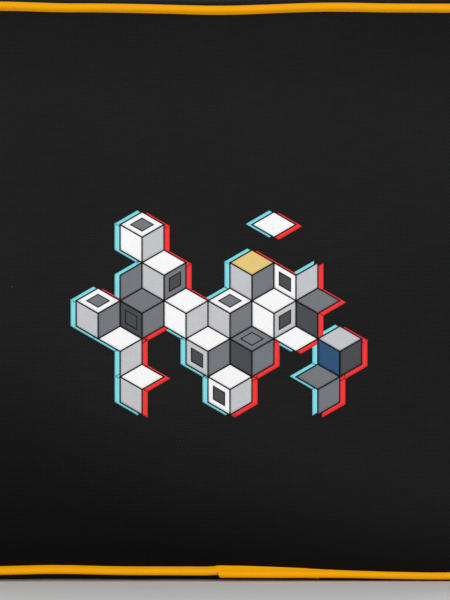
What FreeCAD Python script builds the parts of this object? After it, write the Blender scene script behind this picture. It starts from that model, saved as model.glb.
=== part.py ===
"""Retro shoulder bag: a foam-backed cloth body with contrast piping, a moulded-tooth zip along the top
and a webbing strap that swings on two side rivets.

Frame: origin on the floor under the middle of the bag, +X to the bag's right as seen from the front,
+Y towards its back, +Z up. All sizes are in millimetres.
"""

import FreeCAD
import Part

import math
import os

from FreeCAD import Vector

# ---- body of the bag, measured at the seams that hold the piping ----
seam_width = 364.0  # left seam to right seam
seam_height = 272.0  # bottom seam to top seam
seam_depth = 120.0  # front seam to back seam
corner_radius = 45.0  # corners of the front and back panels, at the seam
wall = 3.0  # cloth, foam and lining together
gusset_bulge = 8.0  # how far sides, base and top stand out past the seams
gusset_flat = 72.0  # width of the flat middle of the gusset
panel_crown = 12.0  # how far the front and back panels stand out past their seams
panel_roll = 20.0  # width of the rolled edge round each panel
band_below_corner = 35.0  # how far the zip band runs down each side past the bag's corner

# ---- piping ----
piping_radius = 2.25
piping_flange = 1.0  # thickness of the flange that is sewn into the seam
piping_flange_reach = 8.0  # how far the flange reaches into the bag
piping_gap = 0.3  # cord to panel edge
lap_length = 26.0  # the cord's ends lie side by side this far
lap_drop = 1.1  # how far the lapped end lies outside the other

# ---- zip ----
slot_margin = 7.0  # slot's end to where the bag's corner starts
zip_slot_width = 18.0
tape_overlap = 6.0  # how far the tape runs on under the band at each end of the slot
tape_width = 14.0  # one tape, from its bead to its outer edge
tape_thickness = 0.8
bead_offset = 2.6  # middle of the chain to the thick edge of a tape that the teeth are moulded on
bead_thickness = 1.6
tooth_pitch = 3.6
tooth_thickness = 3.0
tooth_head_width = 1.9
tooth_neck_width = 1.1
tooth_root_width = 2.6
tooth_reach = 1.6  # how far a tooth's head passes the middle of the chain
tooth_neck_reach = 0.2  # where the head widens, past the middle of the chain
tooth_root_inner = 1.8  # root of a tooth, from the middle of the chain
tooth_root_outer = 4.4
stop_length = 3.2
chain_end_gap = 3.0  # bottom stop to the end of the slot

# ---- zip slider and pull ----
slider_length = 17.0
slider_plate = 1.6
slider_flange = 1.6
slider_clearance = 0.3
slider_flare = 1.7  # how much wider each side is at the mouth
slider_mouth_gap = 2.4  # slider to the top stops' far end, measured to the slot
diamond_half_width = 2.3
bridge_length = 10.4
bridge_height = 4.4
bridge_width = 2.6
bridge_bar = 1.8
pull_thickness = 1.6
pull_length = 30.0
pull_neck_width = 6.8
pull_end_width = 8.6
pull_arm_width = 1.6
pull_window = 6.6  # hinge to the far end of the window that the bridge passes through
pull_hole_radius = 2.0

# ---- strap ----
rivet_above_seam = 22.0  # middle of the rivet above the side seam
rivet_shank_radius = 2.5
rivet_clearance = 0.08
rivet_head_radius = 6.5
rivet_head_height = 2.6
rivet_inner_head_radius = 6.0
rivet_inner_head_height = 1.2
patch_width = 38.0
patch_thickness = 1.5
patch_below_rivet = 34.0
patch_above_rivet = 13.0
strap_width = 38.0
strap_thickness = 1.8
strap_side_gap = 0.5  # strap to the patch on the bag's side
strap_leg = 122.0  # rivet to the start of the strap's bend
strap_bend_radius = 100.0  # at the strap's inner face
strap_tail = 18.0  # strap end past the rivet
strap_hem = 24.0  # length of the folded hem above the rivet
strap_rest_gap = 0.8  # hanging strap to the back of the bag
ring_wire_radius = 1.5
crease = 0.8  # inside radius of the webbing's small bends
ring_clearance = 0.1  # webbing to the ring's bars
ring_slack = 1.0  # strap edge to ring
ring_height = 10.0  # between the ring's two long bars
ring_distance = 40.0  # rivet to the ring's lower bar
fold_run = 16.0  # from a ring bar to where the folded webbing lies flat again
slide_bar = 4.0  # each of the slide's three bars, along the strap
slide_slot = 8.0  # each of its two slots, along the strap
slide_rail = 4.0  # its side rails, across the strap
slide_thickness = 2.4
slide_gap = 0.15  # webbing to the slide
slide_below_bend = 4.0  # slide to the start of the strap's bend

# ---- worked out from the sizes above ----
half_width = seam_width / 2
half_height = seam_height / 2
half_depth = seam_depth / 2
middle_height = gusset_bulge + half_height
top = gusset_bulge + seam_height + gusset_bulge
side = half_width + gusset_bulge
cord_offset = piping_radius + piping_gap
gusset_edge = half_depth - piping_flange / 2
panel_edge = half_depth + piping_flange / 2
panel_face = panel_edge + panel_crown
corner_start = middle_height + half_height - corner_radius  # height at which the upper corners start
side_seam_height = corner_start - band_below_corner
rivet_height = side_seam_height + rivet_above_seam
slot_end = half_width - corner_radius - slot_margin


def point(y, u):
    """A point of a seam profile: y is the depth, u the distance outward from the seam line."""
    return Vector(0, y, u)


def arc(start, end, centre):
    """The shorter arc from start to end about centre."""
    outward = (start - centre) + (end - centre)
    middle = centre + outward.normalize() * (start - centre).Length
    return Part.Arc(start, middle, end).toShape()


def line(start, end):
    return Part.makeLine(start, end)


def polygon(points):
    return Part.Face(Part.makePolygon([*points, points[0]]))


def box(low, high):
    size = high - low
    return Part.makeBox(size.x, size.y, size.z, low)


def rod(radius, start, end):
    return Part.makeCylinder(radius, (end - start).Length, start, end - start)


def mirrored(shape):
    """The same piece on the other side of the bag, left for right."""
    return shape.mirror(Vector(0, 0, 0), Vector(1, 0, 0))


# ---------------------------------------------------------------- bag body


def seam_outline(offset, depth):
    """Rounded rectangle parallel to the panel seam, offset outward, at the given depth."""
    half_w, half_h = half_width + offset, half_height + offset
    radius = corner_radius + offset
    edges = []
    corners = ((1, 1), (1, -1), (-1, -1), (-1, 1))
    for (sx, sz), (nx, nz) in zip(corners, corners[1:] + corners[:1]):
        centre = Vector(sx * (half_w - radius), depth, middle_height + sz * (half_h - radius))
        upright = centre + Vector(0, 0, sz * radius)
        level = centre + Vector(sx * radius, 0, 0)
        start, end = (upright, level) if sx == sz else (level, upright)
        next_centre = Vector(nx * (half_w - radius), depth, middle_height + nz * (half_h - radius))
        next_start = next_centre + (end - centre)
        edges += [arc(start, end, centre), line(end, next_start)]
    return Part.Wire(edges)


def seam_plate(offset, depth, thickness):
    """Flat plate with the panel's outline, from depth towards the back by thickness."""
    return Part.Face(seam_outline(offset, depth)).extrude(Vector(0, thickness, 0))


def round_the_seam(profile):
    """Carries a profile face round the whole seam line: straight runs joined by quarter turns."""
    sides = (
        # turn, straight length, distance from the bag's middle
        (0, seam_width - 2 * corner_radius, half_height),
        (90, seam_height - 2 * corner_radius, half_width),
        (180, seam_width - 2 * corner_radius, half_height),
        (270, seam_height - 2 * corner_radius, half_width),
    )
    pieces = []
    for turn, length, reach in sides:
        run = profile.translated(Vector(-length / 2, 0, reach)).extrude(Vector(length, 0, 0))
        pivot = Vector(length / 2, 0, reach - corner_radius)
        bend = profile.translated(Vector(length / 2, 0, reach)).revolve(pivot, Vector(0, 1, 0), 90)
        for piece in (run, bend):
            piece.rotate(Vector(0, 0, 0), Vector(0, 1, 0), turn)
            pieces.append(piece)
    ring = pieces[0].multiFuse(pieces[1:]).removeSplitter()
    ring.translate(Vector(0, 0, middle_height))
    return ring


def rolled_panel():
    """Front panel: a flat face with a rolled edge that ends square at the seam."""
    roll_radius = (panel_roll**2 + panel_crown**2) / (2 * panel_crown)
    centre = point(-panel_face + roll_radius, -panel_roll)
    inner_radius = roll_radius - wall
    inner_reach = math.sqrt(inner_radius**2 - (panel_crown - roll_radius) ** 2)
    outer_seam, outer_face = point(-panel_edge, 0), point(-panel_face, -panel_roll)
    inner_seam = point(-panel_edge, -panel_roll + inner_reach)
    inner_face = point(-panel_face + wall, -panel_roll)
    edges = [
        arc(outer_seam, outer_face, centre),
        line(outer_face, inner_face),
        arc(inner_face, inner_seam, centre),
        line(inner_seam, outer_seam),
    ]
    rolled_edge = round_the_seam(Part.Face(Part.Wire(edges)))
    return rolled_edge.fuse(seam_plate(-panel_roll, -panel_face, wall)).removeSplitter()


def gusset_ring():
    """The strip between the panels, all the way round: flat in the middle, curving in to both seams."""
    flat = gusset_flat / 2
    run_in = gusset_edge - flat
    outer_radius = (run_in**2 + gusset_bulge**2) / (2 * gusset_bulge)
    inner_radius = outer_radius - wall
    centre_u = gusset_bulge - outer_radius
    inner_seam_u = centre_u + math.sqrt(inner_radius**2 - run_in**2)
    front, back = point(-flat, centre_u), point(flat, centre_u)
    outline = [
        arc(point(-gusset_edge, 0), point(-flat, gusset_bulge), front),
        line(point(-flat, gusset_bulge), point(flat, gusset_bulge)),
        arc(point(flat, gusset_bulge), point(gusset_edge, 0), back),
        line(point(gusset_edge, 0), point(gusset_edge, inner_seam_u)),
        arc(point(gusset_edge, inner_seam_u), point(flat, gusset_bulge - wall), back),
        line(point(flat, gusset_bulge - wall), point(-flat, gusset_bulge - wall)),
        arc(point(-flat, gusset_bulge - wall), point(-gusset_edge, inner_seam_u), front),
        line(point(-gusset_edge, inner_seam_u), point(-gusset_edge, 0)),
    ]
    return round_the_seam(Part.Face(Part.Wire(outline)))


def rivet_hole():
    """Cutter for the rivet's shank through everything on the bag's right side."""
    return rod(rivet_shank_radius, Vector(0, 0, rivet_height), Vector(2 * side, 0, rivet_height))


def below_side_seam():
    reach = 2 * side
    return box(Vector(-reach, -reach, -reach), Vector(reach, reach, side_seam_height))


def side_and_base_gusset(ring):
    return ring.common(below_side_seam()).cut(rivet_hole()).cut(mirrored(rivet_hole()))


def zip_band(ring):
    """Top of the gusset, down to the side seams, with the slot that shows the zip."""
    slot = box(
        Vector(-slot_end, -zip_slot_width / 2, top - 2 * wall),
        Vector(slot_end, zip_slot_width / 2, top + wall),
    )
    band = ring.cut(below_side_seam()).cut(slot)
    return band.cut(rivet_hole()).cut(mirrored(rivet_hole()))


def piping(depth):
    """Round cord outside the seam with the flange that is sewn into it."""
    circle = Part.makeCircle(piping_radius, point(depth, cord_offset), Vector(1, 0, 0))
    cord = round_the_seam(Part.Face(Part.Wire(circle)))
    front = depth - piping_flange / 2
    flange = seam_plate(cord_offset, front, piping_flange).cut(
        seam_plate(-piping_flange_reach, front, piping_flange)
    )
    return cord.fuse(flange)


def piping_with_lap(depth):
    """Piping whose two ends meet at the middle of the base, one lapped under the other."""
    height = gusset_bulge - cord_offset - lap_drop
    lap = rod(piping_radius, Vector(0, depth, height), Vector(lap_length, depth, height))
    return piping(depth).fuse(lap).removeSplitter()


# ---------------------------------------------------------------- zip

tape_top = top - wall
chain_height = tape_top - tape_thickness / 2
tape_end = slot_end + tape_overlap
stop_start = -slot_end + chain_end_gap
chain_start = stop_start + stop_length
slider_front = slot_end - slider_mouth_gap - stop_length
slider_centre = slider_front - slider_length / 2
teeth_end = slider_centre - slider_clearance
channel = tooth_root_outer + slider_clearance


def slab(outline, low, high):
    """Upright prism on a flat outline given as (x, y) pairs."""
    return polygon([Vector(x, y, low) for x, y in outline]).extrude(Vector(0, 0, high - low))


def tape(side_sign):
    """Woven tape on one side of the chain, under the edge of the band."""
    inner, outer = side_sign * tooth_root_outer, side_sign * (tooth_root_outer + tape_width)
    low = Vector(-tape_end, min(inner, outer), tape_top - tape_thickness)
    return box(low, Vector(tape_end, max(inner, outer), tape_top))


def tooth(x, side_sign):
    """One moulded tooth: a broad root on the bead, a narrow neck and a head that hooks behind its neighbours."""
    half_root, half_neck, half_head = tooth_root_width / 2, tooth_neck_width / 2, tooth_head_width / 2
    half_outline = (
        # half width, distance from the chain's middle towards this tooth's own tape
        (half_root, tooth_root_outer),
        (half_root, tooth_root_inner),
        (half_neck, tooth_root_inner),
        (half_neck, -tooth_neck_reach),
        (half_head, -tooth_neck_reach),
        (half_head, -tooth_reach),
    )
    near = [(x + w, side_sign * d) for w, d in half_outline]
    far = [(x - w, side_sign * d) for w, d in reversed(half_outline)]
    return slab(near + far, chain_height - tooth_thickness / 2, chain_height + tooth_thickness / 2)


def stop(start, side_sign, inner):
    """Block moulded on the bead that keeps the slider on the chain."""
    ends = sorted((side_sign * inner, side_sign * tooth_root_outer))
    low = Vector(start, ends[0], chain_height - tooth_thickness / 2)
    return box(low, Vector(start + stop_length, ends[1], chain_height + tooth_thickness / 2))


def teeth(side_sign, phase):
    """All the teeth of one tape with the bead and stops that carry them."""
    bead_ends = sorted((side_sign * bead_offset, side_sign * tooth_root_outer))
    bead = box(
        Vector(stop_start, bead_ends[0], chain_height - bead_thickness / 2),
        Vector(slot_end - slider_mouth_gap + stop_length / 4, bead_ends[1], chain_height + bead_thickness / 2),
    )
    first = chain_start + tooth_root_width / 2 + slider_clearance + phase * tooth_pitch
    count = int((teeth_end - tooth_root_width / 2 - first) / tooth_pitch) + 1
    row = [tooth(first + n * tooth_pitch, side_sign) for n in range(count)]
    bottom_stop = stop(stop_start, side_sign, 0.0)
    top_stop = stop(slider_front + slider_clearance, side_sign, tooth_root_inner)
    return bead.multiFuse([*row, bottom_stop, top_stop])


# ---------------------------------------------------------------- slider and pull

slider_half_width = channel + slider_flange
channel_low = chain_height - tooth_thickness / 2 - slider_clearance
channel_high = chain_height + tooth_thickness / 2 + slider_clearance
slider_low = channel_low - slider_plate
slider_high = channel_high + slider_plate
hinge_height = slider_high + (bridge_height - bridge_bar) / 2


def slider_outline(half_width_behind, overrun):
    """Plan of the slider: straight over the closed chain, flared towards its mouth."""
    behind, ahead = -slider_length / 2 - overrun, slider_length / 2 + overrun
    flare_start, flare_end = -slider_length / 12, slider_length / 4
    mouth = half_width_behind + slider_flare
    right = [(behind, half_width_behind), (flare_start, half_width_behind), (flare_end, mouth), (ahead, mouth)]
    left = [(s, -w) for s, w in reversed(right)]
    return [(slider_centre + s, w) for s, w in right + left]


def bridge():
    """Arched loop on top of the slider that holds the pull."""
    outer_half = bridge_length / 2
    inner_half = outer_half - bridge_bar
    faces = []
    for half, height in ((outer_half, bridge_height), (inner_half, bridge_height - bridge_bar)):
        start = Vector(slider_centre - half, -bridge_width / 2, slider_high)
        crest = Vector(slider_centre, -bridge_width / 2, slider_high + height)
        end = Vector(slider_centre + half, -bridge_width / 2, slider_high)
        faces.append(Part.Face(Part.Wire([Part.Arc(start, crest, end).toShape(), line(end, start)])))
    return faces[0].cut(faces[1]).extrude(Vector(0, bridge_width, 0))


def slider():
    """Two plates joined by the diamond, with flanges that wrap the teeth and leave a slit for the tape."""
    outer = slider_outline(slider_half_width, 0)
    plates = [slab(outer, slider_low, channel_low), slab(outer, channel_high, slider_high)]
    inside = slab(slider_outline(channel, slider_clearance), slider_low, slider_high)
    slit = (tape_top - tape_thickness - slider_clearance, tape_top + slider_clearance)
    flanges = [
        slab(outer, channel_low, slit[0]).cut(inside),
        slab(outer, slit[1], channel_high).cut(inside),
    ]
    wide = diamond_half_width
    tip, shoulder, tail = slider_clearance, slider_length / 4, slider_length / 2 - slider_clearance
    diamond_plan = [(tip, 0), (shoulder, wide), (tail, wide / 2), (tail, -wide / 2), (shoulder, -wide)]
    diamond = slab([(slider_centre + s, w) for s, w in diamond_plan], channel_low, channel_high)
    return plates[0].multiFuse([plates[1], *flanges, diamond, bridge()]).removeSplitter()


def pull():
    """Flat pull with a window for the bridge, a rounded hinge bar and a hole at its free end."""
    low = hinge_height - pull_thickness / 2
    high = hinge_height + pull_thickness / 2
    neck, end = pull_neck_width / 2, pull_end_width / 2
    end_centre = pull_length - end
    plan = [(0, neck), (end_centre, end), (end_centre, -end), (0, -neck)]
    blade = slab([(slider_centre - s, w) for s, w in plan], low, high)
    tip = Vector(slider_centre - end_centre, 0, low)
    blade = blade.fuse(Part.makeCylinder(end, pull_thickness, tip))
    window_half = neck - pull_arm_width
    window = box(
        Vector(slider_centre - pull_window, -window_half, low - 1),
        Vector(slider_centre + 1, window_half, high + 1),
    )
    hole = rod(pull_hole_radius, tip - Vector(0, 0, 1), tip + Vector(0, 0, pull_thickness + 1))
    bar_end = Vector(slider_centre, -neck, hinge_height)
    bar = rod(pull_thickness / 2, bar_end, bar_end + Vector(0, 2 * neck, 0))
    return blade.cut(window).cut(hole).fuse(bar).removeSplitter()


# ---------------------------------------------------------------- strap
# The strap is drawn standing straight up over its rivets and then swung to where it hangs.

strap_inner = side + patch_thickness + strap_side_gap
strap_reach = strap_leg + strap_bend_radius
fold_radius = ring_wire_radius + ring_clearance
strap_doubled = strap_inner + strap_thickness  # outer face of the first of two layers
ring_centre_x = strap_doubled + fold_radius
slide_back = strap_doubled + strap_thickness + slide_gap
slide_front = slide_back + slide_thickness
slide_start = strap_leg - slide_below_bend - 3 * slide_bar - 2 * slide_slot
middle_bar_low = slide_start + slide_bar + slide_slot
middle_bar_high = middle_bar_low + slide_bar


def lean_to_clear(beside, depth):
    """Angle from straight down at which the hanging strap's edge passes a point of the bag's back."""
    bend_centre = strap_inner - strap_bend_radius
    along = strap_leg + math.sqrt(strap_bend_radius**2 - (beside - bend_centre) ** 2)
    half_strap = strap_width / 2
    return math.atan2(half_strap, along) + math.asin(depth / math.hypot(along, half_strap))


strap_lean = max(
    lean_to_clear(half_width + cord_offset + piping_radius, half_depth + piping_radius + strap_rest_gap),
    lean_to_clear(half_width - panel_roll, panel_face + strap_rest_gap),
)


def hung(shape):
    """Swings a piece drawn straight up over the rivets back to where the strap hangs."""
    angle = -(180 - math.degrees(strap_lean))
    shape.rotate(Vector(0, 0, rivet_height), Vector(1, 0, 0), angle)
    return shape


def across(x, up):
    """A point of the standing strap: x from the bag's middle, up from the rivets."""
    return Vector(x, 0, rivet_height + up)


def strap_hole():
    return rod(
        rivet_shank_radius + rivet_clearance,
        across(0, 0),
        across(2 * side, 0),
    )


def bent_line(corners):
    """Edges through (point, radius) corners, with each corner rounded to its radius."""
    edges = []
    here = corners[0][0]
    for (before, _), (at, radius), (after, _) in zip(corners, corners[1:], corners[2:]):
        way_in, way_out = (at - before).normalize(), (after - at).normalize()
        half_turn = way_in.getAngle(way_out) / 2
        run = radius * math.tan(half_turn)
        start, end = at - way_in * run, at + way_out * run
        middle = at + (way_out - way_in).normalize() * radius * (1 / math.cos(half_turn) - 1)
        straight = (start - here).Length > 1e-6
        edges += [line(here, start)] if straight else []
        edges.append(Part.Arc(start if straight else here, middle, end).toShape())
        here = end
    last = corners[-1][0]
    return edges + ([line(here, last)] if (last - here).Length > 1e-6 else [])


def ribbon(corners):
    """Webbing on the right-hand side of a bent path, given as (point, inside radius of the bend)."""
    near, far = [], []
    for index, (at, radius) in enumerate(corners):
        before = corners[max(index - 1, 0)][0]
        after = corners[min(index + 1, len(corners) - 1)][0]
        way_in = (at - before if index else after - at).normalize()
        way_out = (after - at if index < len(corners) - 1 else at - before).normalize()
        side_in, side_out = Vector(way_in.z, 0, -way_in.x), Vector(way_out.z, 0, -way_out.x)
        outer = at + (side_in + side_out) * (strap_thickness / (1 + side_in.dot(side_out)))
        turns_away = way_in.x * way_out.z > way_in.z * way_out.x
        near.append((at, radius if turns_away else radius + strap_thickness))
        far.append((outer, radius + strap_thickness if turns_away else radius))
    far.reverse()
    outline = bent_line(near) + [line(near[-1][0], far[0][0])] + bent_line(far) + [line(far[-1][0], near[0][0])]
    strip = Part.Face(Part.Wire(outline)).extrude(Vector(0, strap_width, 0))
    strip.translate(Vector(0, -strap_width / 2, 0))
    return strip


def flat_layer(inner, low, high):
    """Straight webbing beside the rivets, from one height of the standing strap to another."""
    half = Vector(0, strap_width / 2, 0)
    return box(across(inner, low) - half, across(inner + strap_thickness, high) + half)


def main_strap():
    """Long webbing, drawn with its ring on the right and mirrored.

    One end is looped on the slide's middle bar and runs down behind the rest, round the ring's upper
    bar and up again, over that bar of the slide and then over the bag to the other rivet."""
    ring_bar = ring_distance + ring_height
    loop_start, loop_end = slide_front + slide_gap, slide_back - slide_gap
    loop_radius = (loop_start - loop_end) / 2
    loop_top = middle_bar_high + loop_radius
    loop = ribbon(
        [
            (across(loop_start, middle_bar_low), 0),
            (across(loop_start, loop_top), loop_radius),
            (across(loop_end, loop_top), loop_radius),
            (across(loop_end, middle_bar_low), crease),
            (across(strap_doubled, slide_start + slide_bar), crease),
            (across(strap_doubled, ring_bar), 0),
        ]
    )
    over_slide = loop_start + strap_thickness
    far_side = strap_doubled + 2 * fold_radius
    long_run = ribbon(
        [
            (across(strap_doubled, ring_bar), 0),
            (across(strap_doubled, ring_bar - fold_radius), fold_radius),
            (across(far_side, ring_bar - fold_radius), fold_radius),
            (across(far_side, ring_bar + crease), crease),
            (across(strap_doubled, ring_bar + fold_run), crease),
            (across(strap_doubled, slide_start + slide_bar + slide_slot / 8), crease),
            (across(over_slide, middle_bar_low - slide_slot / 8), crease),
            (across(over_slide, middle_bar_high), crease),
            (across(strap_inner, middle_bar_high + slide_slot * 7 / 8), crease),
            (across(strap_inner, strap_reach), strap_bend_radius),
            (across(-strap_inner, strap_reach), strap_bend_radius),
            (across(-strap_inner, -strap_tail), 0),
        ]
    )
    hem = mirrored(flat_layer(strap_doubled, -strap_tail, strap_hem))
    return mirrored(long_run.multiFuse([loop, hem]).removeSplitter().cut(mirrored(strap_hole())))


def strap_anchor():
    """Short doubled webbing that holds the ring to the left rivet, folded round the ring's lower bar."""
    far_side = strap_doubled + 2 * fold_radius
    fold = ribbon(
        [
            (across(strap_doubled, -strap_tail), 0),
            (across(strap_doubled, ring_distance - fold_run), crease),
            (across(far_side, ring_distance - crease), crease),
            (across(far_side, ring_distance + fold_radius), fold_radius),
            (across(strap_doubled, ring_distance + fold_radius), fold_radius),
            (across(strap_doubled, ring_distance), 0),
        ]
    )
    layer = flat_layer(strap_inner, -strap_tail, ring_distance)
    return mirrored(fold.fuse(layer).removeSplitter().cut(strap_hole()))


def slide():
    """Three-bar slide that sets the strap's length."""
    half = strap_width / 2 + slide_gap + slide_rail
    opening = strap_width / 2 + slide_gap
    low, high = slide_start, middle_bar_high + slide_slot + slide_bar
    frame = box(
        across(slide_back, low) - Vector(0, half, 0),
        across(slide_front, high) + Vector(0, half, 0),
    )
    for start in (slide_start + slide_bar, middle_bar_high):
        slot = box(
            across(slide_back - 1, start) - Vector(0, opening, 0),
            across(slide_front + 1, start + slide_slot) + Vector(0, opening, 0),
        )
        frame = frame.cut(slot)
    corners = [edge for edge in frame.Edges if is_outer_corner(edge, half)]
    return mirrored(frame.makeFillet(slide_rail / 2, corners))


def is_outer_corner(edge, half):
    """True for the four outer edges of the slide that run through its thickness."""
    ends = [vertex.Point for vertex in edge.Vertexes]
    across_plate = abs(ends[0].x - ends[-1].x) > slide_thickness / 2
    return across_plate and abs(abs(ends[0].y) - half) < slide_gap / 2


def ring():
    """Rectangular wire ring between the short and the long webbing, on the left side."""
    half = strap_width / 2 + ring_slack + ring_wire_radius
    low, high = ring_distance, ring_distance + ring_height
    centre = -ring_centre_x
    corners = [
        Vector(centre, -half, rivet_height + low),
        Vector(centre, half, rivet_height + low),
        Vector(centre, half, rivet_height + high),
        Vector(centre, -half, rivet_height + high),
    ]
    loop = []
    for here, there in zip(corners, corners[1:] + corners[:1]):
        loop.append(rod(ring_wire_radius, here, there))
        loop.append(Part.makeSphere(ring_wire_radius, here))
    return loop[0].multiFuse(loop[1:]).removeSplitter()


def rivet():
    """Rivet through the right side: inner head, shank, and domed head outside the strap."""
    outside = strap_doubled + strap_thickness + rivet_clearance
    inside = side - wall
    inner_face = inside - rivet_inner_head_height

    def axis_point(x):
        return Vector(x, 0, rivet_height)

    inner_head = rod(rivet_inner_head_radius, axis_point(inner_face), axis_point(inside))
    shank = rod(rivet_shank_radius, axis_point(inner_face), axis_point(outside + rivet_head_height / 2))
    dome_radius = (rivet_head_radius**2 + rivet_head_height**2) / (2 * rivet_head_height)
    ball = Part.makeSphere(dome_radius, axis_point(outside + rivet_head_height - dome_radius))
    dome = ball.common(rod(2 * rivet_head_radius, axis_point(outside), axis_point(outside + 2 * dome_radius)))
    return shank.multiFuse([inner_head, dome]).removeSplitter()


def patch():
    """Webbing patch that strengthens the right side behind the strap's end."""
    low = Vector(side, -patch_width / 2, rivet_height - patch_below_rivet)
    size = Vector(patch_thickness, patch_width, patch_below_rivet + patch_above_rivet)
    return box(low, low + size).cut(rivet_hole())


def main():
    os.makedirs("parts", exist_ok=True)
    whole_gusset = gusset_ring()
    front_panel = rolled_panel()
    nodes = {
        "front_panel": front_panel,
        "back_panel": front_panel.mirror(Vector(0, 0, 0), Vector(0, 1, 0)),
        "side_and_base_gusset": side_and_base_gusset(whole_gusset),
        "zip_band": zip_band(whole_gusset),
        "front_piping": piping_with_lap(-half_depth),
        "back_piping": piping_with_lap(half_depth),
        "zip_tape_front": tape(-1),
        "zip_tape_back": tape(1),
        "zip_teeth_front": teeth(-1, 0.0),
        "zip_teeth_back": teeth(1, 0.5),
        "zip_slider": slider(),
        "zip_pull": pull(),
        "side_patch_right": patch(),
        "side_patch_left": mirrored(patch()),
        "strap_rivet_right": rivet(),
        "strap_rivet_left": mirrored(rivet()),
        "strap_webbing": hung(main_strap()),
        "strap_anchor_webbing": hung(strap_anchor()),
        "strap_ring": hung(ring()),
        "strap_slide": hung(slide()),
    }
    for name, shape in nodes.items():
        shape.exportStep("parts/" + name + ".step")


main()
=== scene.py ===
import bmesh
import bpy
import math
import numpy as np
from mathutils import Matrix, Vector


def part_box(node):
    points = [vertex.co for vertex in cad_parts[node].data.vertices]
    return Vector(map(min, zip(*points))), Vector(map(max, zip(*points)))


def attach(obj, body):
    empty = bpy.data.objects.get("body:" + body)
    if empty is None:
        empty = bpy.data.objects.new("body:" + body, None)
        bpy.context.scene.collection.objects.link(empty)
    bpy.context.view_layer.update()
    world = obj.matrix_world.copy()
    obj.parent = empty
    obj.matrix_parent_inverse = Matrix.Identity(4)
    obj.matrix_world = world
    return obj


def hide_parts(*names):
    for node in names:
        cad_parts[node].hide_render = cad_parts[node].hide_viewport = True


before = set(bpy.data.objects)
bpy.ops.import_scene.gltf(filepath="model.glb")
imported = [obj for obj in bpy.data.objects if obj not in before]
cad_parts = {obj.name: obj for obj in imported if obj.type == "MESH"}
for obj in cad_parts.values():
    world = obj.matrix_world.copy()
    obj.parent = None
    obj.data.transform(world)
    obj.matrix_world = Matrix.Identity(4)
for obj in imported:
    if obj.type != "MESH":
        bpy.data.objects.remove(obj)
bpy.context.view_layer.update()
print("frame loaded")

panelLow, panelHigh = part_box("front_panel")
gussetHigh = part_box("side_and_base_gusset")[1]

seam = {  # the rounded rectangle that panels, piping and gusset share, in metres
    "halfWidth": (panelHigh.x - panelLow.x) / 2,
    "halfHeight": (panelHigh.z - panelLow.z) / 2,
    "middle": (panelHigh.z + panelLow.z) / 2,
    "corner": 0.045,
    "depth": 0.060,
    "lowest": 0.0002,
}

# small tools for shapes


def softNoise(x, y, seed, shape, layers=3):
    # sum of plane waves with seeded headings and phases, each layer half as long and half as high; the
    # shape is the height of the whole and the length of its longest waves
    height, size = shape
    dice = np.random.default_rng(seed)
    total = np.zeros(np.broadcast(x, y).shape)
    for layer in range(layers):
        for heading, phase in dice.uniform(0, 2 * math.pi, (4, 2)):
            turns = 2 * math.pi * 2**layer / size
            total += np.sin(turns * (x * math.cos(heading) + y * math.sin(heading)) + phase) / 2**layer
    return height * (total / 4)


def smoothStep(value, start, end):
    # 0 before start, 1 after end, and a cubic ease between
    t = np.clip((value - start) / (end - start), 0, 1)
    return t * t * (3 - 2 * t)


def bell(value, height, middle, width):
    # a hump of this height over the middle that fades out over about two widths each way
    return height * np.exp(-(((value - middle) / width) ** 2))


def evenly(count, closeness=0.0):
    # -1 to 1 in count steps; closeness above 0 draws the steps together at both ends
    t = np.linspace(-1, 1, count)
    return (1 - closeness) * t + closeness * np.sin(t * math.pi / 2)


def circle(count):
    return np.linspace(0, 2 * math.pi, count, endpoint=False)


def unit(arrows):
    return arrows / np.linalg.norm(arrows, axis=-1, keepdims=True)


def runLength(path):
    # length of a line of points up to each of them
    return np.append(0, np.cumsum(np.linalg.norm(np.diff(path, axis=0), axis=1)))


def seamPoint(s):
    # walks the seam anticlockwise from the middle of the base: straight runs and quarter circles laid
    # end to end, so place = corner centre + radius * outward + what is left of the straight run
    w, h, r = seam["halfWidth"], seam["halfHeight"], seam["corner"]
    flat, upright, bend = 2 * (w - r), 2 * (h - r), math.pi * r / 2
    lengths = [flat / 2, bend, upright, bend, flat, bend, upright, bend, flat / 2]
    starts = np.concatenate([[0], np.cumsum(lengths)])
    s = np.mod(s, starts[-1])
    part = np.clip(np.searchsorted(starts, s, side="right") - 1, 0, 8)
    along = s - starts[part]
    cornerX = (w - r) * np.array([0, 1, 1, 1, 1, -1, -1, -1, -1])[part]
    cornerZ = (h - r) * np.array([-1, -1, -1, 1, 1, 1, 1, -1, -1])[part]
    startAngle = np.radians([-90, -90, 0, 0, 90, 90, 180, 180, 270])[part]
    turning = part % 2 == 1
    angle = np.where(turning, startAngle + along / r, startAngle)
    outX, outZ = np.cos(angle), np.sin(angle)
    run = np.where(turning, 0, along)
    return cornerX + r * outX - outZ * run, seam["middle"] + cornerZ + r * outZ + outX * run, outX, outZ


sewing = {  # how far the seam wanders from its rounded rectangle, in metres; a hump is height, place, width
    "topLift": 0.0005,
    "topHumps": ((0.0006, 0.057, 0.024), (0.00024, -0.061, 0.022), (-0.00115, -0.0015, 0.031)),
    "leftLift": 0.0009,
    "leftStart": (0.070, 0.110),
    "leftEnd": (0.125, 0.165),
    "baseDrop": 0.0042,
    "dropStart": (-0.005, 0.110),
    "dropEnd": (0.130, 0.175),
    "baseShift": 0.00035,
    "leftShift": 0.00045,
    "leftShiftEnd": (-0.006, 0.003),
    "baseHump": (0.00090, -0.078, 0.025),
    "wander": (0.00015, 0.11),
}


def topAndBase(z):
    # how much of a place belongs to the top of the seam and how much to its base, 0 at half height
    half = seam["halfHeight"]
    return smoothStep(z, seam["middle"], seam["middle"] + half), smoothStep(seam["middle"] - z, 0, half)


def rightRun(x):
    # 1 on the right half of the base, fading out where the corner starts
    return 1 - smoothStep(x, *sewing["dropEnd"])


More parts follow.
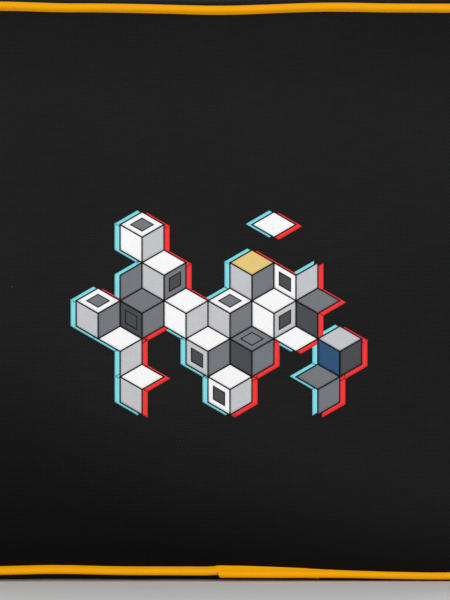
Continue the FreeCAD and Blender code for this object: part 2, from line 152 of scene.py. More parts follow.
def seamWander(x, z):
    # height shift: the top dips in its middle and lifts on the left, and the base drops towards the right
    up, down = topAndBase(z)
    lift = sewing["leftLift"] * smoothStep(-x, *sewing["leftStart"])
    lift = lift * (1 - smoothStep(-x, *sewing["leftEnd"]))
    lift = lift + sum(bell(x, *hump) for hump in sewing["topHumps"])
    drop = sewing["baseDrop"] * smoothStep(x, *sewing["dropStart"]) * rightRun(x) + sewing["baseShift"]
    drop = drop + sewing["leftShift"] * (1 - smoothStep(x, *sewing["leftShiftEnd"]))
    drop = drop - bell(x, *sewing["baseHump"])
    return up * (sewing["topLift"] + lift) - down * drop + softNoise(x, z, 5, sewing["wander"], 2)


def together(*tables):
    # numbers of several tables side by side, as points or places
    return np.stack(np.broadcast_arrays(*tables), -1)


def cellCorners(table):
    # the four entries round each cell of a table
    return table[:-1, :-1], table[1:, :-1], table[1:, 1:], table[:-1, 1:]


def grid(points, uv=None, closed=False, inside=(0, 0, seam["middle"]), keep=None):
    # one surface: rows and columns of points, the places that its weave flows by, with one column more
    # where each row closes to a ring, what it has its back to (a ring its own middle), and the cells to keep
    if uv is None:
        uv = np.zeros((points.shape[0], points.shape[1] + closed, 2))
    return points, uv, closed, points.mean(1, keepdims=True) if closed else inside, keep


def meshFrom(name, parts, closeEnds=False):
    # joins grids into one mesh of quads; closeEnds merges the points of rings that are drawn in to one point
    corners, faces, places, first = [], [], [], 0
    for points, uv, closed, inside, keep in parts:
        index = np.arange(points[..., 0].size).reshape(points.shape[:2])
        if closed:
            index = np.hstack([index, index[:, :1]])
        quads, flow = np.stack(cellCorners(index), -1), np.stack(cellCorners(uv), -2)
        flat = points.reshape(-1, 3)
        a, b, c = flat[quads[..., 0]], flat[quads[..., 1]], flat[quads[..., 3]]
        away = a - (inside + 0 * points).reshape(-1, 3)[quads[..., 0]]
        if (np.cross(b - a, c - a) * away).sum() < 0:  # turned inside out
            quads, flow = quads[..., ::-1], flow[..., ::-1, :]
        if keep is not None:
            quads, flow = quads[keep], flow[keep]
        corners.append(flat)
        faces.append(quads.reshape(-1, 4) + first)
        places.append(flow.reshape(-1, 4, 2))
        first += len(flat)
    corners, faces, places = np.concatenate(corners), np.concatenate(faces), np.concatenate(places)
    mesh = bpy.data.meshes.new(name)
    mesh.from_pydata(corners, [], faces)
    mesh.shade_smooth()
    mesh.uv_layers.new(name="flow").data.foreach_set("uv", places.astype(np.float32).ravel())
    if closeEnds:
        joined = bmesh.new()
        joined.from_mesh(mesh)
        bmesh.ops.remove_doubles(joined, verts=joined.verts, dist=1e-7)
        joined.to_mesh(mesh)
        joined.free()
    mesh.validate()
    return mesh


def newObject(name, data):
    made = bpy.data.objects.new(name, data)
    bpy.context.scene.collection.objects.link(made)
    return made


def adjust(thing, **values):
    for key, value in values.items():
        setattr(thing, key, value)
    return thing


def place(mesh, body, slot, material, *replaced, wall=0):
    # a piece of the bag with its body, material and the CAD node that it stands for, and a slot that is not
    # used; an open sheet also gets a wall of this thickness behind it, which closes it
    obj = newObject(mesh.name, mesh)
    mesh.materials.append(material)
    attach(obj, body)
    if replaced:
        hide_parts(*replaced)
    if wall:
        adjust(obj.modifiers.new("wall", "SOLIDIFY"), thickness=wall, offset=-1)
    return obj


# materials


def feed(tree, target, source):
    # a socket takes another node's output or a plain value
    if hasattr(source, "is_output"):
        tree.links.new(source, target)
    else:
        target.default_value = source


def newNode(tree, kind, inputs=None, **settings):
    made = adjust(tree.nodes.new("ShaderNode" + kind), **settings)
    for socket, source in (inputs or {}).items():
        feed(tree, made.inputs[socket], source)
    return made


def sums(tree, operation, *inputs):
    return newNode(tree, "Math", dict(enumerate(inputs)), operation=operation).outputs[0]


def vectorSums(tree, operation, inputs):
    return newNode(tree, "VectorMath", inputs, operation=operation).outputs[0]


def noise(tree, at, scale, detail, dimensions="3D"):
    inputs = {"Vector": at, "Scale": scale, "Detail": detail}
    return newNode(tree, "TexNoise", inputs, noise_dimensions=dimensions).outputs


def newGroup(name, numbers, outputs):
    # a node group that reads a place and some named numbers, and puts out values
    group = bpy.data.node_groups.new(name, "ShaderNodeTree")
    group.interface.new_socket("Place", in_out="INPUT", socket_type="NodeSocketVector")
    for label, value in numbers.items():
        socket = group.interface.new_socket(label, in_out="INPUT", socket_type="NodeSocketFloat")
        socket.default_value = value
    for label in outputs:
        group.interface.new_socket(label, in_out="OUTPUT", socket_type="NodeSocketFloat")
    return group, group.nodes.new("NodeGroupInput").outputs, group.nodes.new("NodeGroupOutput").inputs


weave = {"drift": 30, "crown": 0.4, "slubStretch": (0.12, 1.0, 1.0), "slubPitch": 0.5}


def makeWeaveGroup():
    # plain weave: two sets of threads cross, and their product says which lies on top in each cell; slubs
    # are a noise drawn out along one set
    numbers = {"Across": 1200.0, "Along": 1020.0, "Waver": 0.0004}
    group, given, result = newGroup("plainWeave", numbers, ("Height", "OnTop", "Slub"))
    drift = noise(group, given["Place"], weave["drift"], 2)["Color"]
    centred = vectorSums(group, "SUBTRACT", {0: drift, 1: (0.5, 0.5, 0.5)})
    moved = vectorSums(group, "SCALE", {0: centred, "Scale": given["Waver"]})
    drifted = vectorSums(group, "ADD", {0: given["Place"], 1: moved})
    parts = newNode(group, "SeparateXYZ", {0: drifted}).outputs
    waves = []
    for axis, label in enumerate(("Across", "Along")):
        pitch = sums(group, "MULTIPLY", given[label], math.pi)
        waves.append(sums(group, "SINE", sums(group, "MULTIPLY", parts[axis], pitch)))
    onTop = sums(group, "GREATER_THAN", sums(group, "MULTIPLY", *waves), 0.0)
    across, along = (sums(group, "ABSOLUTE", wave) for wave in waves)
    warp = sums(group, "MULTIPLY", across, sums(group, "POWER", along, weave["crown"]))
    weft = sums(group, "MULTIPLY", along, sums(group, "POWER", across, weave["crown"]))
    upper = newNode(group, "Mix", {0: onTop, 2: weft, 3: warp}, data_type="FLOAT")
    drawn = vectorSums(group, "MULTIPLY", {0: given["Place"], 1: weave["slubStretch"]})
    slub = noise(group, drawn, sums(group, "MULTIPLY", given["Across"], weave["slubPitch"]), 1, "2D")
    for label, source in (("Height", upper.outputs[0]), ("OnTop", onTop), ("Slub", slub["Fac"])):
        feed(group, result[label], source)
    return group


def makeLintGroup():
    # a few specks of lint: the middles of a sparse cell pattern, in the few cells whose own number is high
    group, given, result = newGroup("lint", {"Scale": 60.0, "Size": 0.02, "Few": 0.5}, ("Mask",))
    inputs = {"Vector": given["Place"], "Scale": given["Scale"]}
    cells = newNode(group, "TexVoronoi", inputs, feature="F1").outputs
    near = sums(group, "LESS_THAN", cells["Distance"], given["Size"])
    number = newNode(group, "SeparateColor", {0: cells["Color"]}).outputs[0]
    few = sums(group, "GREATER_THAN", number, given["Few"])
    feed(group, result["Mask"], sums(group, "MULTIPLY", near, few))
    return group


def makeGrainGroup():
    # uneven grain of moulded or drawn stuff: a coarse noise for tone and a fine one for height
    group, given, result = newGroup("grain", {"Fine": 1500.0, "Coarse": 60.0}, ("Height", "Tone"))
    for label, source in (("Height", "Fine"), ("Tone", "Coarse")):
        feed(group, result[label], noise(group, given["Place"], given[source], 3)["Fac"])
    return group


weaveGroup, lintGroup, grainGroup = makeWeaveGroup(), makeLintGroup(), makeGrainGroup()


def useGroup(tree, group, **values):
    return newNode(tree, "Group", values, node_tree=group).outputs


def ownPlace(tree):
    return newNode(tree, "TexCoord").outputs["Object"]


def slowTone(tree, scale):
    # soft patches of tone, about this many to the metre
    return useGroup(tree, grainGroup, Place=ownPlace(tree), Coarse=scale)["Tone"]


def useWeave(tree, look):
    # the weave follows the piece's flow
    flow = newNode(tree, "UVMap", uv_map="flow").outputs[0]
    numbers = {label.capitalize(): look[label] for label in ("across", "along", "waver")}
    return useGroup(tree, weaveGroup, Place=flow, **numbers)


def blendColours(tree, amount, first, second):
    return newNode(tree, "Mix", {0: amount, 6: first, 7: second}, data_type="RGBA").outputs[2]


def scaleColour(tree, colour, amount):
    return vectorSums(tree, "SCALE", {0: colour, "Scale": amount})


def stretchRange(tree, value, low, high):
    inputs = {"Value": value, "To Min": low, "To Max": high}
    return newNode(tree, "MapRange", inputs).outputs[0]


def startMaterial(name, shaderValues):
    material = bpy.data.materials.new(name)
    material.use_nodes = True
    tree = material.node_tree
    shader = tree.nodes["Principled BSDF"]
    for label, value in shaderValues.items():
        shader.inputs[label].default_value = value
    return material, tree, shader


def finishMaterial(tree, shader, colour, height, depth):
    # colour and relief of a surface, the relief in metres
    feed(tree, shader.inputs["Base Color"], colour)
    bump = newNode(tree, "Bump", {"Strength": 1.0, "Distance": depth, "Height": height})
    feed(tree, shader.inputs["Normal"], bump.outputs[0])


def gray(value):
    return (value, value, value, 1)


def makeCloth(name, look):
    # plain-woven cloth: each cell shows its upper thread, a little lighter one way than the other; shade is
    # painted in by the piece's own attribute, which scales its tone, and its weave is smoother where it is
    # lightest
    shine = {"Roughness": look["roughness"], "Specular IOR Level": look["specular"]}
    material, tree, shader = startMaterial(name, shine)
    woven = useWeave(tree, look)
    patches, lint = slowTone(tree, look["patch"]), dict(zip(("Scale", "Size", "Few"), look["lint"]))
    specks = useGroup(tree, lintGroup, Place=ownPlace(tree), **lint)["Mask"]
    thread = blendColours(tree, woven["OnTop"], look["weft"], look["warp"])
    tone = blendColours(tree, woven["Height"], look["gap"], thread)
    tone = blendColours(tree, stretchRange(tree, woven["Slub"], 0.0, look["slub"]), tone, look["warp"])
    tone = blendColours(tree, stretchRange(tree, patches, 0.0, look["patchDepth"]), tone, look["gap"])
    if "shadeFlatTone" in look:
        # painted shade: the tone is scaled by the panel's shade attribute, darker near its seams, base, low
        # left and right
        wearAndShade = newNode(tree, "Attribute", attribute_name="paintedShade").outputs["Fac"]
        smooth = sums(tree, "MULTIPLY", sums(tree, "POWER", wearAndShade, look["shadeFlatPower"]), look["shadeFlatAmount"])
        tone = blendColours(tree, smooth, tone, look["shadeFlatTone"])
        tone = scaleColour(tree, tone, sums(tree, "MULTIPLY", wearAndShade, look["shadeGain"]))
    colour = blendColours(tree, specks, tone, look["speck"])
    height = sums(tree, "ADD", woven["Height"], sums(tree, "MULTIPLY", woven["Slub"], look["slubHeight"]))
    finishMaterial(tree, shader, colour, height, look["depth"])
    return material


def makeVinyl(name, look):
    # moulded or coated stuff with a fine grain; its height entry, where given, paints light into its colour:
    # lighter towards the base and darker towards the top
    material, tree, shader = startMaterial(name, {"Specular IOR Level": look["specular"]})
    grain = useGroup(tree, grainGroup, Place=ownPlace(tree), Fine=look["fine"], Coarse=look["coarse"])
    colour = blendColours(tree, grain["Tone"], look["deep"], look["colour"])
    if "paintedLightByHeight" in look:
        # painted light: the colour is scaled by height, lighter near the base and darker near the top
        height = newNode(tree, "SeparateXYZ", {0: ownPlace(tree)}).outputs[2]
        upTo = sums(tree, "DIVIDE", height, 2 * seam["middle"])
        colour = scaleColour(tree, colour, stretchRange(tree, upTo, *look["paintedLightByHeight"]))
    feed(tree, shader.inputs["Roughness"], stretchRange(tree, grain["Tone"], *look["rough"]))
    finishMaterial(tree, shader, colour, grain["Height"], look["depth"])
    return material


def makeMetal(name, look):
    # plated metal: fine brushing along one way, and duller patches where fingers wear it
    material, tree, shader = startMaterial(name, {"Metallic": 1.0})
    inputs = {"Vector": ownPlace(tree), "Scale": look["brushed"]}
    drawn = newNode(tree, "Mapping", inputs).outputs[0]
    grain = useGroup(tree, grainGroup, Place=drawn, Fine=look["fine"], Coarse=look["coarse"])
    feed(tree, shader.inputs["Roughness"], stretchRange(tree, grain["Height"], *look["rough"]))
    colour = blendColours(tree, grain["Tone"], look["colour"], look["dull"])
    finishMaterial(tree, shader, colour, grain["Height"], look["depth"])
    return material


shellLook = {  # linear tones; threads and patches to the metre; depth in metres
    "warp": gray(0.0150), "weft": gray(0.0065), "gap": gray(0.0020), "speck": gray(0.10),
    "roughness": 0.62, "specular": 0.07, "across": 1200.0, "along": 1020.0, "waver": 0.0012,
    "patch": 9.0, "patchDepth": 0.5, "lint": (40.0, 0.010, 0.72),
    "slub": 0.35, "slubHeight": 0.5, "depth": 0.00022,
}
# the panel's shade is painted in: its tone is scaled by its shade attribute times the gain given here
panelLook = dict(shellLook, shadeGain=1.80, shadeFlatAmount=0.35, shadeFlatPower=3.0, shadeFlatTone=gray(0.0065))
gussetLook = dict(shellLook, warp=gray(0.0200), weft=gray(0.0088), gap=gray(0.0028))
tapeLook = dict(shellLook, across=1500.0, along=1300.0, depth=0.00025, slub=0.2)
webbingLook = dict(
    shellLook, across=640.0, along=640.0, warp=gray(0.026), weft=gray(0.013), depth=0.0006, waver=0.0005
)
# the height entry paints light into the piping: colour scaled from 1.06 at the base to 0.95 at the top
bindingLook = {
    "colour": (0.920, 0.390, 0.0010, 1), "deep": (0.885, 0.370, 0.0008, 1), "rough": (0.50, 0.62),
    "specular": 0.05, "fine": 2200.0, "coarse": 90.0, "depth": 0.00006, "paintedLightByHeight": (1.06, 0.95),
}
threadLook = {
    "colour": gray(0.022), "deep": gray(0.010), "rough": (0.55, 0.75), "specular": 0.3,
    "fine": 4000.0, "coarse": 400.0, "depth": 0.00008,
}
mouldedLook = {
    "colour": gray(0.016), "deep": gray(0.010), "rough": (0.30, 0.45), "specular": 0.45,
    "fine": 2500.0, "coarse": 120.0, "depth": 0.00004,
}
nickelLook = {
    "colour": (0.62, 0.61, 0.59, 1), "dull": (0.50, 0.49, 0.475, 1), "rough": (0.22, 0.36),
    "brushed": (0.25, 1.0, 1.0), "fine": 1800.0, "coarse": 90.0, "depth": 0.00002,
}

shellCloth = makeCloth("shellCloth", gussetLook)
panelCloth = makeCloth("panelCloth", panelLook)
tapeCloth = makeCloth("tapeCloth", tapeLook)
webbingCloth = makeCloth("webbingCloth", webbingLook)
bindingVinyl = makeVinyl("bindingVinyl", bindingLook)
stitchThread = makeVinyl("stitchThread", threadLook)
mouldedTeeth = makeVinyl("mouldedTeeth", mouldedLook)
nickel = makeMetal("nickel", nickelLook)
print("materials made")

# front and back panels

panel = {  # metres; slack and pucker are a height and a length of wave
    "crown": 0.0078,
    "roll": 0.0175,
    "dome": 0.0020,
    "proud": 0.0005,
    "slack": (0.0008, 0.19),
    "slackStart": (0.004, 0.05),
    "pucker": (0.00035, 0.0255),
    "puckerReach": 0.007,
    "puckerStart": (0, 0.002),
    "puckerTurn": 0.16,
    "puckerSlant": 0.4,
    "wall": 0.0025,
    "settleStart": (0, 0.012),
    "wanderReach": 0.02,
    "closeness": 0.45,
    "grid": (230, 172),
}


def panelPlan(columns, rows):
    # a plain grid whose four corner squares are each drawn in to a quarter circle
    w, h, r = seam["halfWidth"], seam["halfHeight"], seam["corner"]
    a, b = np.meshgrid(evenly(columns, panel["closeness"]) * w, evenly(rows, panel["closeness"]) * h)
    inward = np.minimum(w - np.abs(a), h - np.abs(b))
    va, vb = np.maximum(np.abs(a) - (w - r), 0), np.maximum(np.abs(b) - (h - r), 0)
    shrink = np.where((va > 0) & (vb > 0), np.maximum(va, vb) / np.maximum(np.hypot(va, vb), 1e-9), 1)
    x = np.sign(a) * (np.minimum(np.abs(a), w - r) + va * shrink)
    z = seam["middle"] + np.sign(b) * (np.minimum(np.abs(b), h - r) + vb * shrink)
    return x, z, inward


def panelDepth(x, z, inward, seed):
    # height over the seam: an arc over the rolled edge, then a low dome, with slow slack and seam puckers
    roll, crown = panel["roll"], panel["crown"]
    radius = (roll**2 + crown**2) / (2 * crown)
    over = np.clip(roll - inward, 0, roll)
    rolled = np.sqrt(radius**2 - over**2) - (radius - crown)
    far = np.clip(inward / seam["halfHeight"], 0, 1)
    dome = panel["dome"] * np.sin(far * math.pi / 2) ** 2
    slack = softNoise(x, z, seed, panel["slack"]) * smoothStep(inward, *panel["slackStart"])
    around, slant = np.arctan2(z - seam["middle"], x) * panel["puckerTurn"], panel["puckerSlant"]
    pucker = softNoise(around + slant * x, around - slant * z, seed + 1, panel["pucker"], 2)
    pucker = pucker * np.exp(-inward / panel["puckerReach"]) * smoothStep(inward, *panel["puckerStart"])
    return rolled + dome + slack + pucker


def panelSheet(size, side, seed):
    # points of a panel, in columns and rows, and how far each lies in from the seam
    x, z, inward = panelPlan(*size)
    y = side * (seam["depth"] + panel["proud"] + panelDepth(x, z, inward, seed))
    return together(x, y, z), inward


paintedShade = {  # painted shade on the panels: how light each place is painted, 1 at most; lengths in metres
    "atSeam": 0.60,
    "atTop": 0.72,
    "seamReach": 0.045,
    "lowLeft": 0.30,
    "lowStart": (0.03, 0.13),
    "lowFrom": -0.107,
    "lowSlope": 0.4,
    "right": (0.17, 0.115, 0.065),
    "rightStart": (0.03, 0.10),
    "blotches": (0.04, 0.12),
}


def paintedPanelShade(x, z, inward, side):
    # painted shade: less than 1 within reach of the seam, least of all at its base, and on the front also
    # towards its low left and at half height on its right; random blotches of tone over all
    least = paintedShade["atSeam"] + (paintedShade["atTop"] - paintedShade["atSeam"]) * topAndBase(z)[0]
    wearAndShade = least + (1 - least) * smoothStep(inward, 0, paintedShade["seamReach"])
    if side < 0:
        low = z - seam["middle"] + seam["halfHeight"] + paintedShade["lowSlope"] * (x - paintedShade["lowFrom"])
        wearAndShade = wearAndShade * (paintedShade["lowLeft"] + (1 - paintedShade["lowLeft"]) * smoothStep(low, *paintedShade["lowStart"]))
        wearAndShade = wearAndShade * (1 - bell(z, *paintedShade["right"]) * smoothStep(x, *paintedShade["rightStart"]))
    return wearAndShade * (1 + softNoise(x, z, 17, paintedShade["blotches"], 2))


cushion = {  # how the filling settles each panel; the cap "most" is in metres
    "steps": 18,
    "quality": 6,
    "push": 0.3,
    "weight": 0.005,
    "mass": 0.25,
    "stiffness": 22.0,
    "bend": 4.0,
    "most": 0.0035,
    "grid": (96, 72),
}


def settleCloth(points):
    # how far a sewn-down sheet of cloth moves when the filling pushes it out and its weight pulls it down
    mesh = meshFrom("settling", [grid(points)])
    sheet = newObject("settling", mesh)
    index = np.arange(points[..., 0].size).reshape(points.shape[:2])
    rim = np.concatenate([index[0], index[-1], index[1:-1, 0], index[1:-1, -1]])
    sheet.vertex_groups.new(name="sewn").add(rim.tolist(), 1.0, "REPLACE")
    cloth = sheet.modifiers.new("settle", "CLOTH")
    stiff = cushion["stiffness"]
    adjust(
        cloth.settings, quality=cushion["quality"], mass=cushion["mass"], tension_stiffness=stiff,
        compression_stiffness=stiff, shear_stiffness=stiff / 2, bending_stiffness=cushion["bend"],
        use_pressure=True, uniform_pressure_force=cushion["push"], vertex_group_mass="sewn",
    )
    cloth.settings.effector_weights.gravity = cushion["weight"]
    adjust(cloth.point_cache, frame_start=1, frame_end=cushion["steps"])
    scene = bpy.context.scene
    for step in range(1, cushion["steps"] + 1):
        scene.frame_set(step)
    shown = sheet.evaluated_get(bpy.context.evaluated_depsgraph_get())
    settled = np.empty(points.size, np.float32)
    shown.data.vertices.foreach_get("co", settled)
    scene.frame_set(1)
    bpy.data.objects.remove(sheet)
    bpy.data.meshes.remove(mesh)
    moved = settled.reshape(points.shape) - points
    size = np.linalg.norm(moved, axis=-1, keepdims=True)
    print("cloth settled, largest move mm", round(float(size.max()) * 1000, 2))
    return moved * np.minimum(1, cushion["most"] / np.maximum(size, 1e-9))


def splineWeights(count, oldCount):
    # cubic spline weights that spread oldCount samples over count samples
    gap = np.abs(np.linspace(0, oldCount - 1, count)[:, None] - np.arange(oldCount))
    near = 2 / 3 - gap**2 + gap**3 / 2
    weights = np.where(gap < 1, near, np.where(gap < 2, (2 - gap) ** 3 / 6, 0))
    return weights / weights.sum(1, keepdims=True)


def makePanel(name, node, side, seed):
    # the panel's sheet, moved as a coarser one settles, and shifted with the seam near its edge
    points, inward = panelSheet(panel["grid"], side, seed)
    x, z = points[..., 0].copy(), points[..., 2].copy()
    moved = settleCloth(panelSheet(cushion["grid"], side, seed)[0])
    over, up = (splineWeights(*counts) for counts in zip(panel["grid"], cushion["grid"]))
    spread = np.einsum("ij,jkc,lk->ilc", up, moved, over)
    points = points + spread * smoothStep(inward, *panel["settleStart"])[..., None]
    points[..., 2] += seamWander(x, z) * np.exp(-inward / panel["wanderReach"])
    mesh = meshFrom(name, [grid(points, together(x, z))])
    # painted shade kept as a point attribute: darker near the seam, at the base, towards the low left and on
    # the right
    wearAndShade = paintedPanelShade(x, z, inward, side).astype(np.float32).ravel()
    mesh.attributes.new("paintedShade", "FLOAT", "POINT").data.foreach_set("value", wearAndShade)
    place(mesh, "bag", "shell_cloth", panelCloth, node, wall=panel["wall"])
    return points


frontFace = makePanel("frontPanel", "front_panel", -1, 11)
makePanel("backPanel", "back_panel", 1, 23)
print("panels made")

# sides, base and zip band

gusset = {  # metres; three numbers are a hump's height, place and width, two a height and a length of wave
    "edge": 0.0595,
    "bulge": gussetHigh.x - seam["halfWidth"],
    "squareness": (14.0, 0.7),
    "ridge": (0.0009, 0.047, 0.008),
    "hollow": (0.0024, 0.108, 0.048),
    "crease": (0.0010, 0.046, 0.010),
    "creaseRise": (0.006, 0.11),
    "creaseFade": (0.35, 0.08),
    "slack": (0.0006, 0.16),
    "pucker": (0.0004, 0.022),
    "gather": (0.00045, 0.010),
    "wall": 0.0028,
    "slotHalfLength": 0.130,
    "slotHalfWidth": 0.009,
    "hemLift": 0.0006,
    "slotFold": 0.0042,
    "endFold": 0.009,
    "pullStart": (-0.006, 0),
    "pullEnd": (0.0170, 0.0250),
    "pullSide": (0.0060, 0.0110),
    "closeness": 0.45,
    "grid": (420, 72),
    "bandAlong": (120, 130, 120),
    "bandAcross": (34, 9),
    "bandCloseness": 1.4,
}
straightRuns = 4 * (seam["halfWidth"] + seam["halfHeight"] - 2 * seam["corner"])
wholeSeam = straightRuns + 2 * math.pi * seam["corner"]
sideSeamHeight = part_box("zip_band")[0].z
rightSeam = (
    seam["halfWidth"] - seam["corner"] + math.pi * seam["corner"] / 2
    + sideSeamHeight - (seam["middle"] - seam["halfHeight"] + seam["corner"])
)
slotStart, slotEnd = wholeSeam / 2 - gusset["slotHalfLength"], wholeSeam / 2 + gusset["slotHalfLength"]


def sideSag(s, v, z, outX):
    # how far the upright sides fall in: a long hollow at half height, and a soft crease above the base that
    # rises and fades across the bag's depth
    depth, height, width = gusset["crease"]
    height = height + softNoise(v, s * 0.1, 36, gusset["creaseRise"], 2)
    fading = 1 - gusset["creaseFade"][0] + softNoise(s * 0.2, v, 37, gusset["creaseFade"], 2)
    sag = bell(z, *gusset["hollow"]) + fading * bell(z, depth, height, width)
    return sag * outX**8 * (1 - (np.abs(v) / gusset["edge"]) ** 3)


def underPull(s, v):
    # 1 on the two places past the slot's ends where the pull comes to lie, 0 elsewhere
    past = np.abs(s - wholeSeam / 2) - gusset["slotHalfLength"]
    near = smoothStep(past, *gusset["pullStart"]) * (1 - smoothStep(past, *gusset["pullEnd"]))
    return near * (1 - smoothStep(np.abs(v), *gusset["pullSide"]))


def gussetSurface(s, v, lift=0.0):
    # out from the seam by a bulge that falls away steeply at both edges, with a low ridge behind the
    # piping along the top, less the sag of the sides, and slack, edge puckers and gathers round the corners
    s, v = np.broadcast_arrays(s, v)
    x, z, outX, outZ = seamPoint(s)
    toEdge = np.abs(v) / gusset["edge"]
    steep, fall = gusset["squareness"]
    swell = gusset["bulge"] * (1 - toEdge**steep) ** fall
    swell = swell + topAndBase(z)[0] ** 4 * bell(np.abs(v), *gusset["ridge"])
    slack = softNoise(s, v, 31, gusset["slack"]) * (1 - toEdge**4)
    onBase = smoothStep(-z, -seam["middle"], seam["halfHeight"] - seam["middle"]) > 0.9
    slack = np.where(onBase & (slack > 0), 0, slack) * (1 - underPull(s, v))
    pucker = softNoise(s, v * 0.2, 32, gusset["pucker"], 2) * toEdge**6 * (1 - toEdge**24)
    turning = 1 - np.maximum(np.abs(outX), np.abs(outZ)) ** 8
    gather = softNoise(s, v * 0.1, 33, gusset["gather"], 2) * toEdge**10 * (1 - toEdge**30) * turning
    out = swell - sideSag(s, v, z, outX) + slack + pucker + gather + lift
    height = z + outZ * out + seamWander(x, z) * toEdge**4
    return together(x + outX * out, v, np.maximum(height, seam["lowest"]))


def makeGusset():
    # the gusset's surface from one side seam round the base to the other
    columns, rows = gusset["grid"]
    s = np.linspace(-rightSeam, rightSeam, columns)[:, None]
    v = evenly(rows, gusset["closeness"]) * gusset["edge"]
    mesh = meshFrom("sideGusset", [grid(gussetSurface(s, v), together(s, v))])
    place(mesh, "bag", "shell_cloth", shellCloth, "side_and_base_gusset", wall=gusset["wall"])


def zipBandLift(s, v):
    # folded edges stand up a little: along the slot, and where the band lies over the side gusset
    fromSlot = np.maximum(np.maximum(slotStart - s, s - slotEnd), np.abs(v) - gusset["slotHalfWidth"])
    fromEnd = np.minimum(s - rightSeam, wholeSeam - rightSeam - s)
    fold, hem = (
        np.exp(-((np.maximum(away, 0) / reach) ** 4))
        for away, reach in ((fromSlot, gusset["slotFold"]), (fromEnd, gusset["endFold"]))
    )
    return gusset["hemLift"] * np.maximum(fold, hem) * (1 - underPull(s, v))


def makeZipBand():
    # the same surface over the top, lifted at its folds and closest drawn beside the slot, less the slot
    half, (outer, inner) = gusset["slotHalfWidth"], gusset["bandAcross"]
    ends = rightSeam, slotStart, slotEnd, wholeSeam - rightSeam
    runs = [np.linspace(*run) for run in zip(ends, ends[1:], gusset["bandAlong"])]
    s = np.unique(np.concatenate(runs))[:, None]
    drawn = 1 - (1 - np.linspace(0, 1, outer)) ** gusset["bandCloseness"]
    side = half + drawn * (gusset["edge"] - half)
    v = np.unique(np.concatenate([-side, np.linspace(-half, half, inner), side]))
    middleS, middleV = (s[:-1] + s[1:]) / 2, (v[:-1] + v[1:]) / 2
    inSlot = (middleS > slotStart) & (middleS < slotEnd) & (np.abs(middleV) < half)
    mesh = meshFrom("zipBand", [grid(gussetSurface(s, v, zipBandLift(s, v)), together(s, v), keep=~inSlot)])
    place(mesh, "bag", "shell_cloth", shellCloth, "zip_band", wall=gusset["wall"])


makeGusset()
makeZipBand()
print("gusset and zip band made")

# piping

piping = {  # metres
    "radius": 0.00209,
    "out": 0.00215,
    "lap": 0.050,
    "lapDrop": 0.00185,
    "farDrop": 0.0009,
    "farStart": (0.045, 0.105),
    "tuck": 0.0013,
    "tuckStart": (-0.002, 0.012),
    "ahead": 0.0006,
    "aheadEnd": (0.03, 0.07),
    "slant": 0.0008,
    "slantReach": 0.004,
    "tail": (0.9, math.pi, 0.24),
    "outWaves": (0.0001, 0.09),
    "deepWaves": (0.00008, 0.07),
    "thickWaves": (0.012, 0.05),
    "tip": (0, 0.00002, 0.00025),
    "tipRadius": (0, 0.93, 1),
    "step": 0.0016,
    "around": 24,
}


def makePiping(name, node, side):
    # a round cord with a thin tail towards the seam, carried along the seam; its last stretch runs on
    # above and behind its first, which starts cut off square in the middle of the base
    whole, tip = wholeSeam + piping["lap"], np.array(piping["tip"])
    s = np.linspace(0, whole, int(whole / piping["step"]))[1:-1]
    s = np.concatenate([tip, s, whole - tip[::-1]])
    x, z, outX, outZ = seamPoint(s)
    first = (s < wholeSeam / 4) * topAndBase(z)[1] * rightRun(x)
    fall = first * (piping["lapDrop"] + piping["farDrop"] * smoothStep(x, *piping["farStart"]))
    tuck = piping["tuck"] * smoothStep(s - wholeSeam, *piping["tuckStart"])
    ahead = piping["ahead"] * first * (1 - smoothStep(s, *piping["aheadEnd"]))
    out = piping["out"] + softNoise(s, 0, 41, piping["outWaves"])
    y = side * (seam["depth"] - tuck + ahead + softNoise(s, 0, 42, piping["deepWaves"]))
    height = z + outZ * out + seamWander(x, z) * (1 - first) - fall
    centre = together(x + outX * out, y, height)[:, None]
    radius = piping["radius"] * (1 + softNoise(s, 0, 43, piping["thickWaves"]))
    radius[:3] *= piping["tipRadius"]
    radius[-3:] *= piping["tipRadius"][::-1]
    s, first, radius, outX, outZ = (table[:, None] for table in (s, first, radius, outX, outZ))
    angle = circle(piping["around"])
    reach = 1 + (1 + first) * bell(angle, *piping["tail"]) * (s <= wholeSeam)
    sideways = radius * reach * np.cos(angle)
    slanted = piping["slant"] * sideways / piping["radius"] * np.exp(-s / piping["slantReach"])
    x, z = outX * sideways - outZ * slanted, outZ * sideways + outX * slanted
    points = centre + together(x, radius * np.sin(angle), z)
    points[..., 2] = np.maximum(points[..., 2], seam["lowest"])
    turns = np.linspace(0, 2 * math.pi * piping["radius"], piping["around"] + 1)
    mesh = meshFrom(name, [grid(points, together(s, turns), closed=True)], closeEnds=True)
    place(mesh, "bag", "piping", bindingVinyl, node)


makePiping("frontPiping", "front_piping", -1)
makePiping("backPiping", "back_piping", 1)
print("piping made")

# zip

zipTape = {  # metres
    "inner": 0.0044,
    "outer": 0.0184,
    "half": 0.136,
    "top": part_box("zip_tape_front")[1].z - 0.0001,
    "bead": (0.0003, 0.0044, 0.0009),
    "waves": (0.00006, 0.03),
    "dip": 0.0002,
    "dipStart": (0.008, 0.010),
    "thick": 0.0008,
    "grid": (240, 18),
}


def makeTapes():
    # flat strips with a raised bead along the teeth, a faint waviness and a low step down outside it
    columns, rows = zipTape["grid"]
    x = np.linspace(-zipTape["half"], zipTape["half"], columns)[:, None]
    y = np.linspace(zipTape["inner"], zipTape["outer"], rows)
    z = zipTape["top"] + bell(y, *zipTape["bead"]) + softNoise(x, y, 51, zipTape["waves"], 2)
    z = z - zipTape["dip"] * smoothStep(y, *zipTape["dipStart"])
    for end, side in (("Front", -1), ("Back", 1)):
        mesh = meshFrom("zipTape" + end, [grid(together(x, side * y, z), together(x, y))])
        place(mesh, "bag", "zip_tape", tapeCloth, "zip_tape_" + end.lower(), wall=zipTape["thick"])


def dress(material, *nodes):
    # gives kept CAD nodes their finish
    for node in nodes:
        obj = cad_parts[node]
        obj.data.materials.clear()
        obj.data.materials.append(material)


